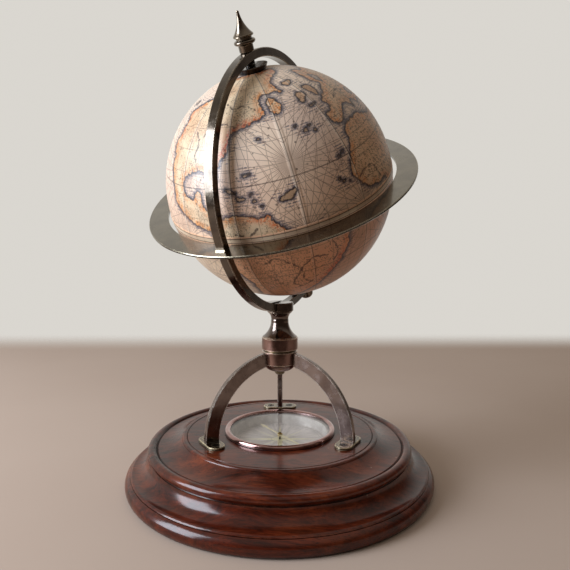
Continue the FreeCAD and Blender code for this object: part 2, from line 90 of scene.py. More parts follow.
# Outlines are (latitude, longitude) in degrees, after the manner of a 16th-century map.
LANDS = {
    "north america": [
        (46, -70), (48, -64), (50, -57), (51, -49), (53, -45), (57, -47), (61, -48), (64, -44), (63, -38),
        (64, -31), (61, -25), (65, -26), (69, -30), (72, -24), (75, -12), (77, 4), (82, 30), (84, -60),
        (80, -110), (73, -104), (68, -88), (65, -104), (60, -116), (57, -124), (52, -117), (46, -117),
        (42, -119), (38, -118), (36, -113), (33, -115), (27, -112), (20, -108), (16, -108), (13, -104),
        (10, -100), (8, -95), (6, -90), (4, -85), (6, -80), (9, -80), (13, -82), (15, -86), (18, -87),
        (22, -87), (22, -91), (18, -92), (19, -97), (24, -101), (29, -98), (31, -92), (31, -85), (27, -81),
        (26, -78), (31, -78), (35, -76), (37, -73), (41, -71),
    ],
    "newfoundland": [(60, -42), (61, -38), (58, -34), (54, -32), (51, -36), (52, -41), (56, -42)],
    "south america": [
        (8, -78), (11, -75), (12, -70), (11, -64), (9, -60), (11, -55), (8, -54), (5, -51), (1, -47),
        (-2, -41), (-1, -35), (0, -29), (-3, -24), (-9, -21), (-15, -21), (-21, -24), (-27, -28),
        (-33, -34), (-38, -38), (-43, -44), (-49, -53), (-53, -66), (-50, -74), (-42, -77),
        (-36, -75), (-28, -74), (-20, -78), (-12, -83), (-5, -86), (1, -85), (5, -80),
    ],
    "europe and africa": [
        (71, 20), (66, 14), (60, 12), (57, 16), (54, 9), (51, 2), (49, -4), (47, -1), (44, -1), (43, -8),
        (40, -9), (37, -7), (36, -1), (39, 2), (42, 6), (43, 12), (40, 17), (38, 18), (42, 20), (40, 26),
        (37, 27), (40, 33), (36, 38), (31, 35), (31, 27), (33, 20), (36, 12), (35, 5), (35, -2), (31, -5),
        (27, -6), (21, -11), (15, -13), (10, -10), (5, -4), (4, 4), (5, 10), (1, 13), (-6, 14), (-15, 14),
        (-24, 16), (-33, 20), (-34, 26), (-27, 33), (-20, 37), (-10, 42), (0, 45), (8, 51), (12, 50),
        (13, 45), (21, 39), (28, 35), (22, 42), (14, 46), (17, 55), (24, 59), (26, 54), (29, 51), (26, 60),
        (25, 68), (18, 74), (9, 78), (17, 84), (22, 90), (17, 96), (8, 100), (2, 104), (9, 106), (16, 110),
        (22, 115), (29, 123), (37, 122), (42, 132), (50, 142), (58, 154), (62, 172), (68, 176), (73, 140),
        (76, 108), (71, 72), (68, 48), (67, 34), (71, 27),
    ],
    "southern land": [
        (-58, -160), (-54, -120), (-60, -90), (-58, -66), (-63, -40), (-61, 0), (-52, 30), (-58, 60),
        (-46, 90), (-33, 112), (-40, 130), (-52, 150), (-50, 175), (-58, 200), (-90, 200), (-90, -160),
    ],
}
# An island is (latitude, longitude, half length, half width, turn), all in degrees.
ISLANDS = [
    (55.5, -14, 3.4, 2.2, 70), (57, -1, 4.2, 2.0, 100), (66, -12, 2.6, 1.7, 10), (49.5, -12, 2.3, 0.6, 5),
    (22, -71, 3.0, 0.7, 160), (18.5, -66, 2.2, 0.8, 170), (17, -60, 1.0, 0.6, 0), (14.5, -57, 0.7, 0.5, 0),
    (20, -61, 0.9, 0.5, 20), (16.5, -44.5, 4.4, 1.6, 20), (28, -62, 2.0, 0.8, 8), (42, -53, 0.9, 0.7, 0),
    (40, -26, 1.2, 0.8, 30), (41.5, -23, 0.8, 0.6, 0), (38.5, -21, 0.8, 0.5, 0), (43, -31, 0.7, 0.5, 0),
    (25.5, -13, 1.0, 0.7, 30), (24.5, -16, 0.7, 0.5, 0), (14, -18, 0.9, 0.5, 10), (15.5, -20, 0.6, 0.5, 0),
    (13, -15, 0.5, 0.4, 0), (-19, 46, 6.5, 2.2, 72), (7, 81, 2.2, 1.4, 90), (0, 102, 8.0, 2.0, 135),
    (1, 114, 5.5, 4.2, 60), (-7, 112, 5.0, 1.2, 0), (-2, 122, 3.2, 1.4, 80), (12, 123, 4.0, 1.8, 100),
    (36, 138, 6.5, 1.6, 50), (-5, 142, 9.0, 3.0, 165), (46, 150, 3.0, 1.0, 60), (61, -130, 1.7, 1.0, 30),
    (-16, -150, 1.6, 0.9, 0), (4, -160, 1.2, 0.8, 0), (20, -156, 1.4, 0.8, 140), (-38, 176, 3.4, 1.2, 60),
]
SEAS = [
    [(46, 30), (46, 38), (42, 41), (41, 34), (43, 29)],
    [(46, 50), (46, 54), (38, 54), (37, 50)],
    [(65, 24), (60, 29), (55, 20), (60, 18)],
]
RIVERS = [
    [(-2, -44), (-6, -52), (-3, -60), (-8, -66), (-6, -73)],
    [(-36, -41), (-30, -47), (-22, -45), (-14, -52), (-11, -58), (-14, -63), (-12, -67)],
    [(-33, -42), (-37, -48), (-32, -53), (-26, -50), (-20, -46)],
    [(-20, -46), (-15, -40), (-17, -33)],
    [(-12, -29), (-17, -27), (-22, -30)],
    [(31, 31), (22, 32), (12, 32), (2, 31), (-6, 28)],
    [(6, 6), (13, 3), (15, -3), (12, -9)],
    [(-6, 13), (-4, 22), (2, 26)],
    [(56, -52), (60, -60), (58, -70), (62, -78)],
    [(49, -66), (52, -76), (50, -86), (46, -90)],
    [(31, -90), (38, -94), (44, -92), (48, -98)],
    [(5, -61), (1, -66), (3, -72)],
    [(47, 8), (50, 18), (46, 28)],
    [(24, 68), (30, 72), (36, 74)],
    [(22, 89), (26, 82), (30, 78)],
    [(37, 119), (36, 108), (40, 100)],
]
HATCHED = [(18, 12, 30), (-8, 25, 26), (56, 18, 30), (48, -100, 8), (-20, -62, 24)]   # (lat, lon, reach)


def on_sphere(latitude, longitude):
    """Unit vectors in the globe's frame for map positions in degrees."""
    lat = np.radians(latitude)
    lon = np.radians(np.asarray(longitude) + MAP_TURN)
    return np.stack([np.cos(lat) * np.cos(lon), np.cos(lat) * np.sin(lon), np.sin(lat)], -1)


def round_corners(points, closed):
    """One pass of corner cutting."""
    p = np.asarray(points, float)
    following = np.roll(p, -1, axis=0)
    if not closed:
        p, following = p[:-1], following[:-1]
    cut = np.stack([0.75 * p + 0.25 * following, 0.25 * p + 0.75 * following], 1).reshape(-1, 2)
    return cut if closed else np.vstack([points[0], cut, points[-1]])


def roughen(points, closed, ragged, rng):
    """Splits every stretch until it is short, moving each new point a little to one side."""
    p = np.asarray(points, float)
    while True:
        following = np.roll(p, -1, axis=0) if closed else np.vstack([p[1:], p[-1:]])
        step = following - p
        length = np.hypot(step[:, 0], step[:, 1] * np.cos(np.radians(p[:, 0])))
        if length.max() <= COAST_STEP:
            return p
        out = []
        for start, move, long in zip(p, step, length):
            out.append(start)
            if long > COAST_STEP:
                side = rng.uniform(-1, 1) * min(ragged, 0.28 * long)
                stretch = 1 / max(0.25, math.cos(math.radians(start[0])))
                normal = np.array([-move[1], move[0]]) / max(1e-9, math.hypot(*move))
                out.append(start + move / 2 + side * normal * (1, stretch))
        p = np.array(out)


def island_outline(latitude, longitude, half_length, half_width, turn):
    """A lopsided oval."""
    points = []
    for index in range(ISLAND_POINTS):
        angle = math.radians(360 / ISLAND_POINTS * index)
        swell = 1 + 0.25 * math.sin(3 * angle + longitude)
        along, across = half_length * swell * math.cos(angle), half_width * swell * math.sin(angle)
        t = math.radians(turn)
        north = along * math.sin(t) + across * math.cos(t)
        east = (along * math.cos(t) - across * math.sin(t)) / math.cos(math.radians(latitude))
        points.append((latitude + north, longitude + east))
    return points


def inside(outline, latitude, longitude):
    """Whether each map position lies within a closed outline, whichever turn of longitude it is on."""
    result = np.zeros(len(latitude), bool)
    ahead = np.roll(outline, -1, axis=0)
    for turn in (-360, 0, 360):
        lon = longitude + turn
        for (y0, x0), (y1, x1) in zip(outline, ahead):
            if x0 != x1:
                crosses = (lon >= min(x0, x1)) & (lon < max(x0, x1))
                result ^= crosses & (latitude < y0 + (lon - x0) * (y1 - y0) / (x1 - x0))
    return result


def distance_to(lines, directions):
    """Angle in degrees from each direction to the nearest point of the lines."""
    points = np.vstack([on_sphere(line[:, 0], line[:, 1]) for line in lines])
    tree = KDTree(len(points))
    for index, point in enumerate(points):
        tree.insert(point, index)
    tree.balance()
    return np.degrees([tree.find(direction)[2] for direction in directions])


class WorldMap:
    """Finished coasts and rivers, and what the map's shader needs to know at each direction."""

    def __init__(self):
        rng = random.Random(MAP_SEED)
        self.lands = [self.coast(points, rng) for points in LANDS.values()]
        self.islands = [roughen(round_corners(island_outline(*island), True), True, 0.25, rng)
                        for island in ISLANDS]
        self.seas = [self.coast(points, rng) for points in SEAS]
        self.rivers = [roughen(round_corners(points, False), False, RAGGED, rng) for points in RIVERS]

    def coast(self, points, rng):
        return roughen(round_corners(points, True), True, RAGGED, rng)

    def values(self, directions):
        """The map's attributes. Distances are in degrees, and negative off the land they measure."""
        latitude = np.degrees(np.arcsin(np.clip(directions[:, 2], -1, 1)))
        longitude = (np.degrees(np.arctan2(directions[:, 1], directions[:, 0])) - MAP_TURN + 180) % 360 - 180
        mainland = np.zeros(len(directions), bool)
        for outline in self.lands:
            mainland |= inside(outline, latitude, longitude)
        for outline in self.seas:
            mainland &= ~inside(outline, latitude, longitude)
        land = mainland.copy()
        for outline in self.islands:
            land |= inside(outline, latitude, longitude)
        coast = distance_to(self.lands + self.islands + self.seas, directions)
        inland = distance_to(self.lands + self.seas, directions)
        hatch = np.zeros(len(directions))
        for lat, lon, reach in HATCHED:
            away = np.degrees(np.arccos(np.clip(directions @ on_sphere(lat, lon), -1, 1)))
            hatch = np.maximum(hatch, np.clip(2 - 2 * away / reach, 0, 1))
        return {"coast": np.where(land, coast, -coast), "inland": np.where(mainland, inland, -inland),
                "river": distance_to(self.rivers, directions), "hatch": hatch}


# ---- meshes -------------------------------------------------------------------------------------

def new_object(name, vertices, faces, smooth=True):
    mesh = bpy.data.meshes.new(name)
    mesh.from_pydata([tuple(v) for v in vertices], [], faces)
    mesh.validate()
    mesh.update()
    mesh.shade_smooth() if smooth else mesh.shade_flat()
    piece = bpy.data.objects.new(name, mesh)
    bpy.context.scene.collection.objects.link(piece)
    return piece


def half_shell(name, sign, world_map):
    """Closed half shell of the ball: a fine outer face, a coarse inner one, and two rims."""
    top = math.degrees(math.acos(POLE_HOLE_R / GLOBE_R))
    inner_r = GLOBE_R - GLOBE_WALL
    inner_top = math.degrees(math.acos(POLE_HOLE_R / inner_r))
    longitudes = np.arange(MAP_COLUMNS) * 360 / MAP_COLUMNS
    rows = [(GLOBE_R, lat) for lat in np.linspace(0, top, MAP_ROWS)]
    rows += [(inner_r, lat) for lat in np.linspace(inner_top, 0, INNER_ROWS)]
    directions = np.vstack([on_sphere(np.full(MAP_COLUMNS, sign * lat), longitudes) for _, lat in rows])
    radii = np.repeat([radius for radius, _ in rows], MAP_COLUMNS)
    faces = []
    for row in range(len(rows)):
        low, high = row * MAP_COLUMNS, (row + 1) % len(rows) * MAP_COLUMNS
        for column in range(MAP_COLUMNS):
            ahead = (column + 1) % MAP_COLUMNS
            face = (low + column, low + ahead, high + ahead, high + column)
            faces.append(face if sign > 0 else face[::-1])
    vertices = directions * radii[:, None] @ np.array(GLOBE_TURN).T + np.array(GLOBE_CENTRE)
    shell = new_object(name, vertices, faces)
    for key, values in world_map.values(directions).items():
        attribute = shell.data.attributes.new(key, "FLOAT", "POINT")
        attribute.data.foreach_set("value", values.astype(np.float32))
    return shell


# ---- shader helpers -----------------------------------------------------------------------------

MIX_A, MIX_B, MIX_RESULT = 6, 7, 2      # the colour sockets of a Mix node

def srgb(red, green, blue):
    """Linear colour from 0 to 255 display values."""
    def linear(value):
        share = value / 255
        return share / 12.92 if share <= 0.04045 else ((share + 0.055) / 1.055) ** 2.4
    return (linear(red), linear(green), linear(blue), 1)


class Shader:
    """Builds one material's node tree. A value is a number, a colour, or another node's output."""

    def __init__(self, name):
        self.material = bpy.data.materials.new(name)
        self.material.use_nodes = True
        self.tree = self.material.node_tree
        self.tree.nodes.clear()

    def node(self, kind, **settings):
        node = self.tree.nodes.new("ShaderNode" + kind)
        for key, value in settings.items():
            setattr(node, key, value)
        return node

    def put(self, socket, value):
        if isinstance(value, bpy.types.NodeSocket):
            self.tree.links.new(value, socket)
        elif value is not None:
            socket.default_value = value

    def math(self, operation, a, b=None, c=None, clamp=False):
        node = self.node("Math", operation=operation, use_clamp=clamp)
        for socket, value in zip(node.inputs, (a, b, c)):
            self.put(socket, value)
        return node.outputs[0]

    def vector(self, operation, a, b=None):
        node = self.node("VectorMath", operation=operation)
        for socket, value in zip(node.inputs, (a, b)):
            self.put(socket, value)
        return node.outputs["Value" if operation in ("DOT_PRODUCT", "LENGTH", "DISTANCE") else "Vector"]

    def times(self, *values):
        product = values[0]
        for value in values[1:]:
            product = self.math("MULTIPLY", product, value)
        return product

    def either(self, *values):
        most = values[0]
        for value in values[1:]:
            most = self.math("MAXIMUM", most, value)
        return most

    def fade(self, value, start, end, low=0.0, high=1.0):
        """From low at start to high at end, smoothly."""
        node = self.node("MapRange", interpolation_type="SMOOTHSTEP")
        for socket, item in zip(node.inputs, (value, start, end, low, high)):
            self.put(socket, item)
        return node.outputs[0]

    def mix(self, share, a, b, blend="MIX"):
        node = self.node("Mix", data_type="RGBA", blend_type=blend)
        self.put(node.inputs[0], share)
        self.put(node.inputs[MIX_A], a)
        self.put(node.inputs[MIX_B], b)
        return node.outputs[MIX_RESULT]

    def object_coordinates(self):
        return self.node("TexCoord").outputs["Object"]

    def place(self, scale=(1, 1, 1), turn=(0, 0, 0), source=None):
        """Object coordinates, turned and then stretched by scale."""
        node = self.node("Mapping", vector_type="TEXTURE")
        self.put(node.inputs["Vector"], source or self.object_coordinates())
        node.inputs["Scale"].default_value = [1 / share for share in scale]
        node.inputs["Rotation"].default_value = turn
        return node.outputs[0]

    def globe_coordinates(self):
        """Object coordinates, taken into the globe's frame."""
        node = self.node("Mapping", vector_type="TEXTURE")
        self.put(node.inputs["Vector"], self.object_coordinates())
        node.inputs["Location"].default_value = GLOBE_CENTRE
        node.inputs["Rotation"].default_value = GLOBE_TURN.to_euler()
        return node.outputs[0]

    def noise(self, source, scale, detail=4, roughness=0.5, distortion=0.0):
        node = self.node("TexNoise")
        self.put(node.inputs["Vector"], source)
        node.inputs["Scale"].default_value = scale
        node.inputs["Detail"].default_value = detail
        node.inputs["Roughness"].default_value = roughness
        node.inputs["Distortion"].default_value = distortion
        return node.outputs["Fac"]

    def cells(self, source, scale, randomness=1.0):
        node = self.node("TexVoronoi")
        self.put(node.inputs["Vector"], source)
        node.inputs["Scale"].default_value = scale
        node.inputs["Randomness"].default_value = randomness
        return node.outputs["Distance"], node.outputs["Color"]

    def split(self, source):
        node = self.node("SeparateXYZ")
        self.put(node.inputs[0], source)
        return node.outputs

    def join(self, x, y, z):
        node = self.node("CombineXYZ")
        for socket, value in zip(node.inputs, (x, y, z)):
            self.put(socket, value)
        return node.outputs[0]

    def ramp(self, value, *stops):
        """Colours by position, from (position, colour) pairs."""
        node = self.node("ValToRGB")
        self.put(node.inputs[0], value)
        elements = node.color_ramp.elements
        while len(elements) < len(stops):
            elements.new(1.0)
        for element, (position, colour) in zip(elements, stops):
            element.position = position
            element.color = colour
        return node.outputs[0]

    def attribute(self, name):
        return self.node("Attribute", attribute_name=name).outputs["Fac"]

    def edges(self, radius):
        """1 on sharp outer and inner edges, 0 on open faces."""
        bevel = self.node("Bevel", samples=4)
        bevel.inputs["Radius"].default_value = radius
        geometry = self.node("NewGeometry")
        same = self.vector("DOT_PRODUCT", bevel.outputs[0], geometry.outputs["Normal"])
        return self.fade(same, 0.995, 0.9)

    def crevices(self, distance):
        """1 deep in corners, 0 in the open."""
        node = self.node("AmbientOcclusion", samples=6)
        node.inputs["Distance"].default_value = distance
        return self.fade(node.outputs["AO"], 0.85, 0.35)

    def bump(self, height, depth, below=None):
        node = self.node("Bump")
        self.put(node.inputs["Height"], height)
        node.inputs["Strength"].default_value = 1.0
        node.inputs["Distance"].default_value = depth
        self.put(node.inputs["Normal"], below)
        return node.outputs[0]

    def finish(self, **sockets):
        """Ends the tree in a Principled shader with these sockets."""
        surface = self.node("BsdfPrincipled")
        for name, value in sockets.items():
            self.put(surface.inputs[name.replace("_", " ")], value)
        self.out(surface.outputs[0])
        return self.material

    def out(self, shader):
        self.put(self.node("OutputMaterial").inputs["Surface"], shader)


# ---- materials ----------------------------------------------------------------------------------

INK = srgb(44, 30, 26)
SEA_PAPER = srgb(244, 219, 194)
SEA_PAPER_PINK = srgb(230, 202, 181)
# painted shade: the brown the sea takes near the horizon ring
LOW_SEA_SHADE = srgb(236, 192, 156)
# painted shade: the southern sea on its Atlantic half
SOUTH_SEA_SHADE = srgb(210, 158, 126)
SOUTH_SEA_WEST = srgb(232, 208, 178)
LAND_PAPER = srgb(230, 204, 168)
LAND_PAPER_DEEP = srgb(216, 178, 138)
# southern land: partly the print's own brown tint, partly painted shade
SOUTH_LAND = srgb(228, 164, 122)
ISLAND_PAPER = srgb(186, 152, 120)
UPLAND = srgb(232, 180, 138)
BORDER_ORANGE = srgb(214, 88, 44)
BORDER_YELLOW = srgb(224, 150, 88)
SEA_SHADE = srgb(34, 50, 82)
FINE_INK = srgb(88, 52, 38)
SEAM_LIGHT = srgb(246, 232, 212)
AGED = srgb(150, 112, 86)
# painted shade on the faces that run along a ring's rim
RIM_SHADE = srgb(38, 31, 26)
# dirt and painted shade in the metals' corners
METAL_DIRT_AND_SHADE = srgb(22, 16, 12)
METAL_SPOT = srgb(30, 22, 17)
LACQUER_ROUGHNESS = 0.07

TAPE_RULE = 1.25         # the ruled lines' distance from the tape's middle, mm


def meridian_lines(shader, longitude, parallel_scale, period, start, width):
    """Lines every period degrees of longitude."""
    offset = shader.math("WRAP", shader.math("SUBTRACT", longitude, start), period / 2, -period / 2)
    return shader.fade(shader.times(shader.math("ABSOLUTE", offset), parallel_scale), width, width * 0.35)


def parallel_lines(shader, latitude, period, width):
    """Lines every period of latitude."""
    offset = shader.math("WRAP", latitude, period / 2, -period / 2)
    return shader.fade(shader.math("ABSOLUTE", offset), width, width * 0.35)


def rose_lines(shader, direction, latitude, spokes, width, reach):
    """Great circles through a point on the X meridian, fading at reach degrees from it."""
    lat = math.radians(latitude)
    outward = (math.cos(lat), 0, math.sin(lat))
    north = (-math.sin(lat), 0, math.cos(lat))
    ahead = shader.vector("DOT_PRODUCT", direction, outward)
    up = shader.vector("DOT_PRODUCT", direction, north)
    across = shader.vector("DOT_PRODUCT", direction, (0, 1, 0))
    span = shader.math("SQRT", shader.math("ADD", shader.times(up, up), shader.times(across, across)))
    period = 2 * math.pi / spokes
    bearing = shader.math("WRAP", shader.math("ARCTAN2", across, up), period / 2, -period / 2)
    away = shader.times(shader.math("ABSOLUTE", bearing), span, 180 / math.pi)
    line = shader.fade(away, width, width * 0.3)
    distance = shader.math("DEGREES", shader.math("ARCTAN2", span, ahead))
    near_end = shader.fade(distance, reach, reach * 0.7)
    return shader.times(line, near_end, shader.fade(distance, 0.5, 5, 0.35, 1.0))


def map_paper():
    """Printed and varnished gores: seas with rose lines, tinted coasts, hatched uplands and age, with painted
    shade on the low and southern seas.
    """
    s = Shader("printed_map")
    here = s.globe_coordinates()
    direction = s.vector("NORMALIZE", here)
    x, y, z = s.split(direction)
    latitude = s.math("DEGREES", s.math("ARCSINE", z))
    longitude = s.math("DEGREES", s.math("ARCTAN2", y, x))
    parallel_scale = s.math("COSINE", s.math("RADIANS", latitude))

    wander = s.math("MULTIPLY_ADD", s.noise(here, 420, 5, 0.65), 2.0, -1.0)
    coast = s.math("ADD", s.attribute("coast"), wander)
    river = s.math("ADD", s.attribute("river"), s.math("MULTIPLY", wander, 0.7))
    land = s.fade(coast, -0.08, 0.08)
    sea = s.math("SUBTRACT", 1, land)
    broad = s.noise(here, 28, 3)
    fine = s.noise(here, 900, 3, 0.6)
    blotch = s.noise(here, 170, 5, 0.65)

    graticule = s.either(meridian_lines(s, longitude, parallel_scale, 10, GORE_START, 0.24),
                         parallel_lines(s, latitude, 10, 0.24))
    off_tropic = s.math("SUBTRACT", s.math("ABSOLUTE", latitude), TROPIC)
    tropics = s.fade(s.math("ABSOLUTE", off_tropic), 0.38, 0.15)
    gore_line = meridian_lines(s, longitude, parallel_scale, GORE, GORE_START, 0.36)
    gore_lip = meridian_lines(s, longitude, parallel_scale, GORE, GORE_START - 0.6, 0.38)
    gore_shade = meridian_lines(s, longitude, parallel_scale, GORE, GORE_START, 1.6)

    roses = []
    for start, latitudes in ((36, ROSE_LATITUDES), (66, (0, 52)), (36, (0,))):
        turned = s.math("WRAP", s.math("SUBTRACT", longitude, start), 30, -30)
        folded = s.join(s.times(parallel_scale, s.math("COSINE", s.math("RADIANS", turned))),
                        s.times(parallel_scale, s.math("SINE", s.math("RADIANS", turned))), z)
        for lat in latitudes:
            roses.append(rose_lines(s, folded, lat, ROSE_SPOKES, 0.2, 40))
            if lat == ROSE_LATITUDES[0]:
                roses.append(rose_lines(s, folded, lat, 2 * ROSE_SPOKES, 0.15, 9))
    rose = s.times(s.either(*roses), sea, s.fade(coast, -0.3, -1.4, 0.35, 1.0))

    south = s.fade(latitude, 4, -16)
    paper = s.mix(s.fade(broad, 0.35, 0.65), SEA_PAPER, SEA_PAPER_PINK)
    # painted shade: the sea browns towards the equator, where the horizon ring shades the ball
    paper = s.mix(s.fade(latitude, 42, 0, 0, 0.5), paper, LOW_SEA_SHADE)
    # painted shade: south of the equator the sea browns on its Atlantic half and stays pale on the other
    paper = s.mix(south, paper, s.mix(s.fade(y, -0.12, 0.12), SOUTH_SEA_WEST, SOUTH_SEA_SHADE))
    ground = s.mix(s.fade(s.noise(here, 55, 3), 0.4, 0.62), LAND_PAPER, LAND_PAPER_DEEP)
    # the southern land browns, partly as the print's tint and partly as painted shade
    ground = s.mix(south, ground, SOUTH_LAND)
    inland = s.math("ADD", s.attribute("inland"), wander)
    ground = s.mix(s.fade(inland, 0.1, -0.1), ground, ISLAND_PAPER)
    colour = s.mix(land, paper, ground)

    pick = s.fade(s.noise(here, 16, 1), 0.4, 0.58)
    dabs = s.noise(here, 620, 3, 0.55)
    tint = s.times(land, s.fade(inland, 0.0, 0.2), s.fade(inland, 3.9, 1.1),
                   s.fade(blotch, 0.38, 0.52, 0.35, 1.0), s.fade(dabs, 0.42, 0.53, 0.3, 1.0))
    colour = s.mix(tint, colour, s.mix(pick, BORDER_ORANGE, BORDER_YELLOW))
    grain = s.fade(fine, 0.35, 0.6, 0.7, 1.0)
    islet = s.fade(s.math("SUBTRACT", coast, inland), 0.1, 0.6)
    offing = s.times(coast, s.math("MULTIPLY_ADD", islet, 0.45, 1.0))
    stripes = s.math("MULTIPLY_ADD", parallel_lines(s, latitude, 1.1, 0.36), 0.5, 0.5)
    hatching = s.either(s.fade(offing, -1.1, -0.7), stripes)
    shore = s.times(sea, s.fade(offing, -1.9, -1.5), s.fade(offing, -1.7, -0.3, 0.62, 0.96), grain, hatching)
    strokes_at_sea = s.times(parallel_lines(s, latitude, 1.3, 0.44), sea, s.fade(coast, -5.0, -2.2),
                             s.fade(blotch, 0.46, 0.55), s.fade(dabs, 0.38, 0.54), 0.8)
    colour = s.mix(s.either(shore, strokes_at_sea), colour, SEA_SHADE)

    slanted = s.noise(s.place((1500, 1500, 230), (0, 0.9, 0), here), 1.0, 2, 0.5, 0.3)
    upland = s.times(s.attribute("hatch"), land)
    colour = s.mix(s.times(upland, 0.45), colour, UPLAND)
    strokes = s.times(s.fade(slanted, 0.52, 0.58), upland)
    sparse = s.times(s.fade(slanted, 0.54, 0.6), s.fade(blotch, 0.43, 0.53), land)
    marks = s.times(s.fade(s.noise(s.place((520, 1300, 1300), source=here), 1.0, 3, 0.6), 0.59, 0.65),
                    s.fade(broad, 0.46, 0.56))
    dots, dot_colour = s.cells(here, 260)
    dot = s.times(s.fade(dots, 0.2, 0.12), s.fade(s.split(dot_colour)[0], 0.72, 0.76))
    ink = s.either(
        s.times(s.fade(s.math("ABSOLUTE", coast), 0.42, 0.2), 0.95),
        s.times(s.fade(s.math("ABSOLUTE", river), 0.56, 0.24), land, 0.9),
        s.times(tropics, 0.7), s.times(gore_line, 0.48), s.times(strokes, 0.6), s.times(sparse, 0.75),
        s.times(marks, 0.62), s.times(dot, 0.75),
    )
    ink = s.times(ink, s.fade(fine, 0.25, 0.6, 0.65, 1.0))
    colour = s.mix(s.times(gore_lip, s.fade(latitude, 20, -20, 0.6, 0.15)), colour, SEAM_LIGHT)
    colour = s.mix(s.either(s.times(rose, 0.6), s.times(graticule, 0.46)), colour, FINE_INK)
    colour = s.mix(ink, colour, INK)
    worn = s.times(s.fade(s.noise(here, 45, 5, 0.7), 0.46, 0.75), 0.35)
    colour = s.mix(worn, colour, AGED)
    height = s.math("MULTIPLY_ADD", gore_shade, 1.0, s.times(fine, 0.08))
    roughness = s.math("MULTIPLY_ADD", broad, 0.2, 0.36)
    return s.finish(Base_Color=colour, Roughness=roughness, Normal=s.bump(height, 0.2 * MM),
                    Coat_Weight=0.5, Coat_Roughness=0.38)


def tape_paper():
    """Pale tape with a ruled line near each edge and fine divisions."""
    s = Shader("printed_tape")
    here = s.globe_coordinates()
    x, y, z = s.split(here)
    longitude = s.math("DEGREES", s.math("ARCTAN2", y, x))
    height = s.math("ABSOLUTE", s.times(z, 1000))
    ruled = s.fade(s.math("ABSOLUTE", s.math("SUBTRACT", height, TAPE_RULE)), 0.32, 0.12)
    ticks = s.times(meridian_lines(s, longitude, 1.0, 5, GORE_START, 0.3), s.fade(height, 0.4, 0.6))
    age = s.noise(here, 60, 4)
    colour = s.mix(s.fade(age, 0.3, 0.7), srgb(226, 206, 176), srgb(196, 164, 134))
    # the tape's margins take the low sea's painted shade
    colour = s.mix(s.fade(height, 1.2, 1.35), colour, LOW_SEA_SHADE)
    colour = s.mix(s.times(s.either(ruled, s.times(ticks, 0.5)), 0.9), colour, INK)
    return s.finish(Base_Color=colour, Roughness=0.42, Coat_Weight=0.2, Coat_Roughness=0.25,
                    Normal=s.bump(s.noise(here, 900, 2), 0.03 * MM))


def bronze(name, dark, warm, worn, roughness, brushed=None, wear_and_glint=0.8, depth=0.004 * MM, rim=None,
           edge=0.5 * MM, lacquer=0.6):
    """Patinated bronze: dark in corners from dirt and painted shade, rubbed bright on edges, partly as a
    painted highlight, with fine polishing lines.

    brushed is a function that gives stretched coordinates for the polishing lines. With a rim
    direction, the faces that run along it are painted nearly black as shade. lacquer is the weight of a clear
    coat."""
    s = Shader(name)
    here = s.object_coordinates()
    cloud = s.noise(here, 90, 5, 0.6)
    grit = s.noise(here, 1400, 3, 0.6)
    lines = s.noise(brushed(s), 1.0, 3, 0.6) if brushed else s.noise(s.place((300, 300, 4000)), 1.0, 3, 0.6)
    colour = s.mix(s.fade(cloud, 0.32, 0.68), dark, warm)
    # painted shade: faces that run along the rim direction go nearly black
    if rim:
        level = s.math("ABSOLUTE", s.vector("DOT_PRODUCT", s.node("TexCoord").outputs["Normal"], rim))
        colour = s.mix(s.fade(level, 0.5, 0.3), colour, RIM_SHADE)
    # rubbed edges: real wear, and near-white colours that also paint a highlight along the edges
    rubbed = s.times(s.edges(edge), s.fade(s.noise(here, 240, 3), 0.3, 0.6, 0.45, 1.0), wear_and_glint)
    colour = s.mix(rubbed, colour, worn)
    # dirt and painted shade: darker in corners and where parts meet
    dirt_and_shade = s.times(s.crevices(2.5 * MM), 0.75)
    colour = s.mix(dirt_and_shade, colour, METAL_DIRT_AND_SHADE)
    spots = s.times(s.fade(s.noise(here, 520, 2), 0.68, 0.74), 0.45)
    colour = s.mix(spots, colour, METAL_SPOT)
    smudge = s.fade(s.noise(here, 160, 4, 0.65), 0.4, 0.7, 0, 0.12)
    smooth = s.math("ADD", s.math("MULTIPLY_ADD", cloud, 0.1, roughness - 0.08), smudge)
    rough = s.math("ADD", smooth, s.math("MULTIPLY_ADD", lines, 0.08, s.times(dirt_and_shade, 0.3)))
    rough = s.math("MULTIPLY_ADD", rubbed, 0.22, rough, clamp=True)
    height = s.math("ADD", s.times(lines, 0.8), s.times(grit, 0.3))
    dented = s.bump(s.noise(here, 110, 3), 0.06 * MM)
    return s.finish(Base_Color=colour, Metallic=1.0, Roughness=rough, Normal=s.bump(height, depth, dented),
                    Coat_Weight=lacquer, Coat_Roughness=LACQUER_ROUGHNESS)


def stretched_round(shader, source, axis, fine, around):
    """Coordinates drawn out into rings round one axis of the source, as a lathe leaves its lines."""
    parts = shader.split(source)
    a, b = [part for index, part in enumerate(parts) if index != axis]
    radius = shader.math("SQRT", shader.math("ADD", shader.times(a, a), shader.times(b, b)))
    turn = shader.math("ARCTAN2", b, a)
    return shader.join(shader.times(radius, fine), shader.times(turn, around),
                       shader.times(parts[axis], fine))


def round_axle(shader):
    """Rings round the globe's axle."""
    return stretched_round(shader, shader.globe_coordinates(), 2, 5000, 3)


def round_meridian(shader):
    """Lines along the meridian ring."""
    return stretched_round(shader, shader.globe_coordinates(), 1, 4500, 3)


def round_stand(shader):
    """Rings round the stand's own axis."""
    return stretched_round(shader, shader.object_coordinates(), 2, 4500, 1.5)


